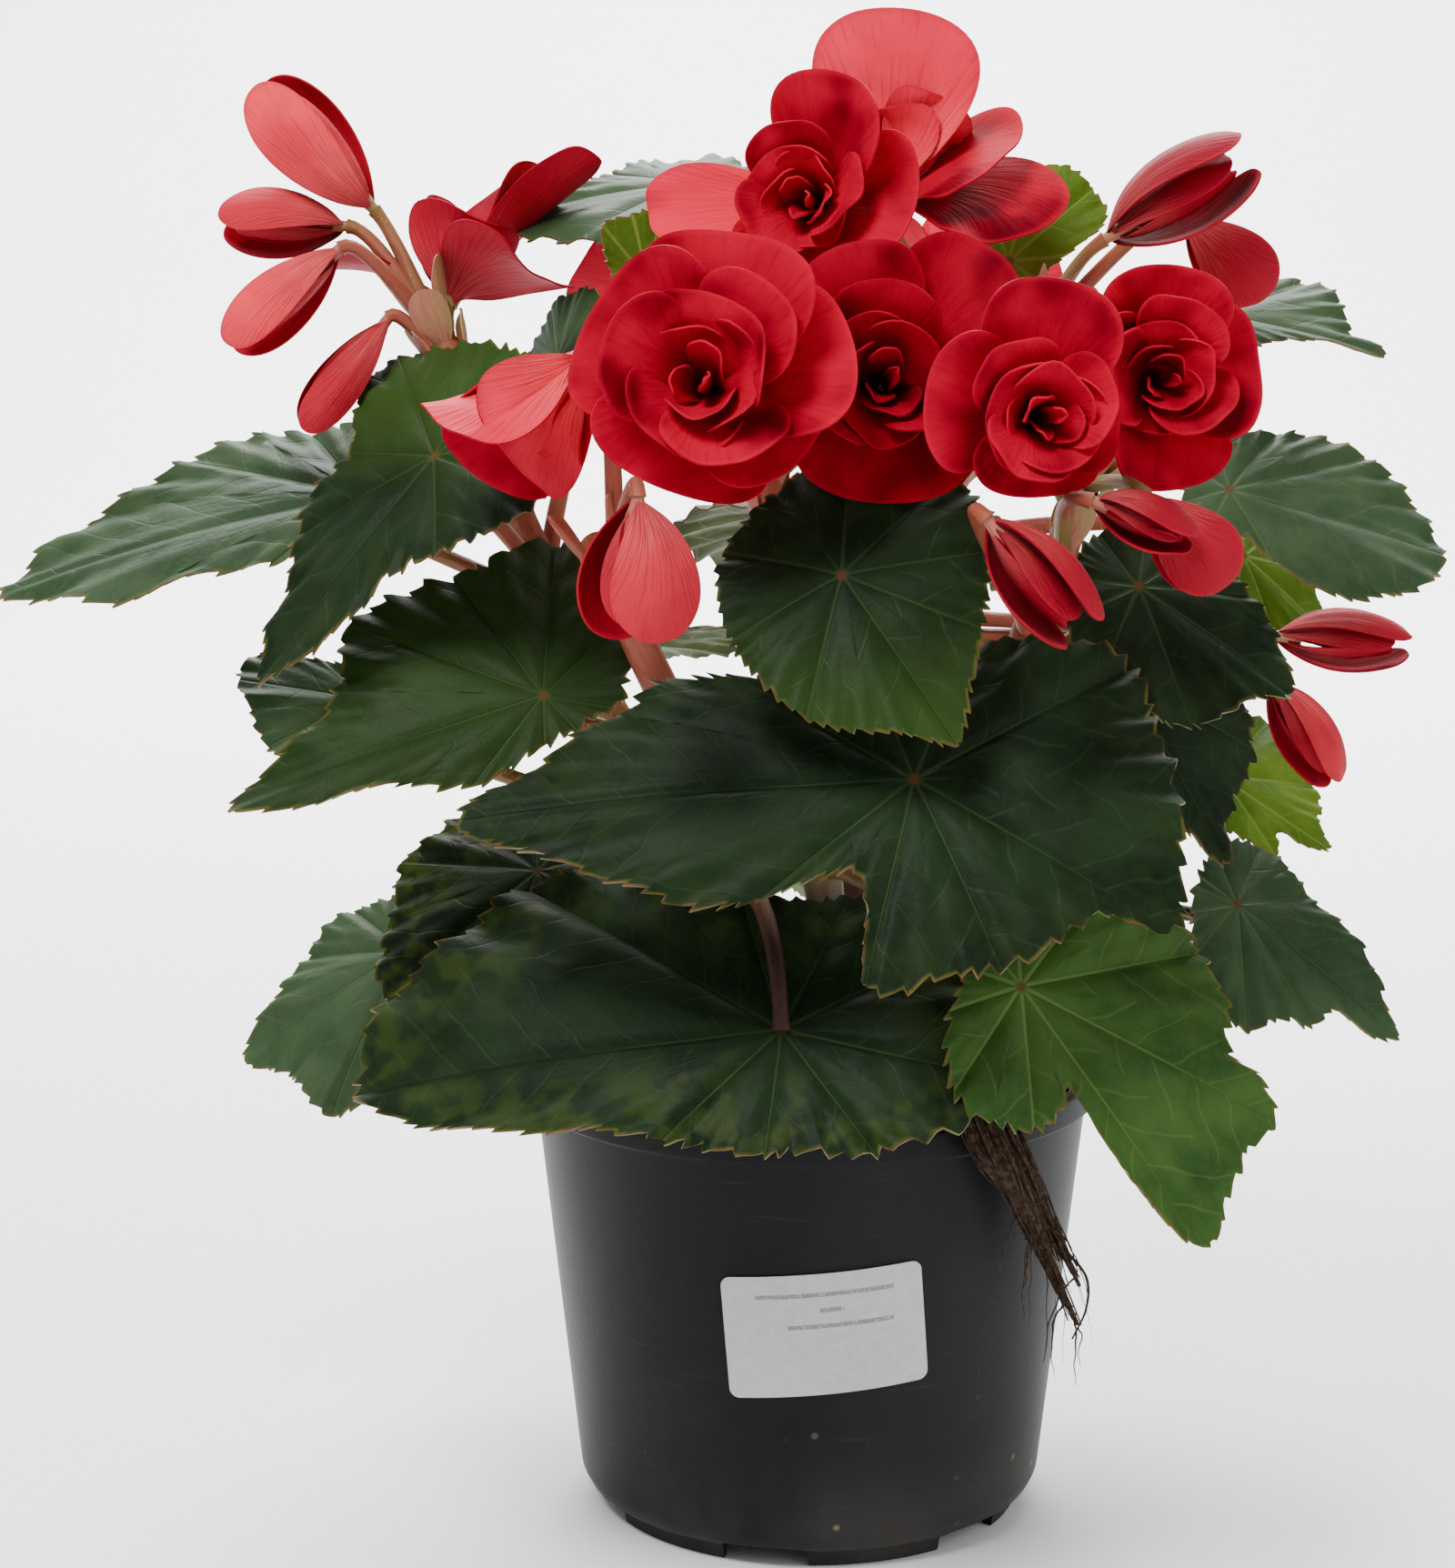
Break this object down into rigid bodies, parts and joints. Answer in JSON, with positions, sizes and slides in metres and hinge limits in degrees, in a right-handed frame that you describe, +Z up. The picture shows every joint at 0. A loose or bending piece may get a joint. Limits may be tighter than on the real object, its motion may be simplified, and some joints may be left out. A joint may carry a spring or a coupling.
{
  "type": "potted plant",
  "caption": "Bushy flowering begonia in a round nursery pot: lopsided toothed leaves, thick stems, ruffled double red blooms and drooping two-valved buds.",
  "frame": {"origin": "middle of the pot's foot, on the surface that the pot stands on", "axes": "+Z up along the pot's axis; -Y towards the side that the large front leaf and the label are on; +X to the right seen from that side"},
  "size_m": [0.317, 0.2471, 0.3364],
  "materials": {
    "pot": "matt black moulded plastic, grey sheen",
    "label": "white film-faced paper",
    "soil": "dark crumbly peat",
    "dead_root": "dry brown fibres",
    "stem": "juicy pink-orange stem, satin",
    "leaf_dark": "dark green, glossy",
    "leaf_mid": "grey-green, satin",
    "leaf_bright": "bright green, satin",
    "leaf_young": "yellow-green, satin",
    "petal": "velvety red",
    "bud": "red, paler towards the base"
  },
  "bodies": {
    "root": {"pot": "pot", "label": "label", "dead_roots": "dead_root", "stem_left": "stem", "stem_front": "stem", "stem_centre": "stem", "stem_right": "stem", "stem_back": "stem", "soil": "soil", "bloom_large": "petal", "bloom_middle": "petal", "bloom_right_front": "petal", "bloom_right": "petal", "bloom_top": "petal", "bloom_top_back": "petal", "bloom_left_opening": "petal", "bloom_left_back": "petal", "bloom_back_left": "petal", "bloom_back_right": "petal", "bud_left_tall": "bud", "bud_left_side": "bud", "bud_left_front": "bud", "bud_left_low": "bud", "bud_front": "bud", "bud_right_front": "bud", "bud_right_side": "bud", "bud_right_round": "bud", "bud_far_right": "bud", "bud_far_right_low": "bud", "bud_high_right": "bud", "bud_high_far": "bud", "bud_back": "bud", "leaf_front_large": "leaf_dark", "leaf_centre": "leaf_dark", "leaf_left_middle": "leaf_dark", "leaf_left_folded": "leaf_dark", "leaf_left_far": "leaf_mid", "leaf_left_small": "leaf_mid", "leaf_high_left": "leaf_mid", "leaf_young": "leaf_young", "leaf_behind_left": "leaf_mid", "leaf_high_right": "leaf_young", "leaf_right_high": "leaf_mid", "leaf_right_big": "leaf_mid", "leaf_right_pale": "leaf_young", "leaf_right_dark": "leaf_dark", "leaf_right_shadow": "leaf_dark", "leaf_right_yellow": "leaf_young", "leaf_right_low": "leaf_mid", "leaf_front_right": "leaf_bright", "leaf_front_low": "leaf_dark", "leaf_left_low": "leaf_dark", "leaf_left_pale": "leaf_mid", "leaf_back_left_low": "leaf_mid", "leaf_back_low": "leaf_dark", "leaf_back_right_low": "leaf_mid", "leaf_back_left_high": "leaf_dark", "leaf_back_middle": "leaf_dark", "leaf_back_right_high": "leaf_dark"}
  },
  "joints": []
}
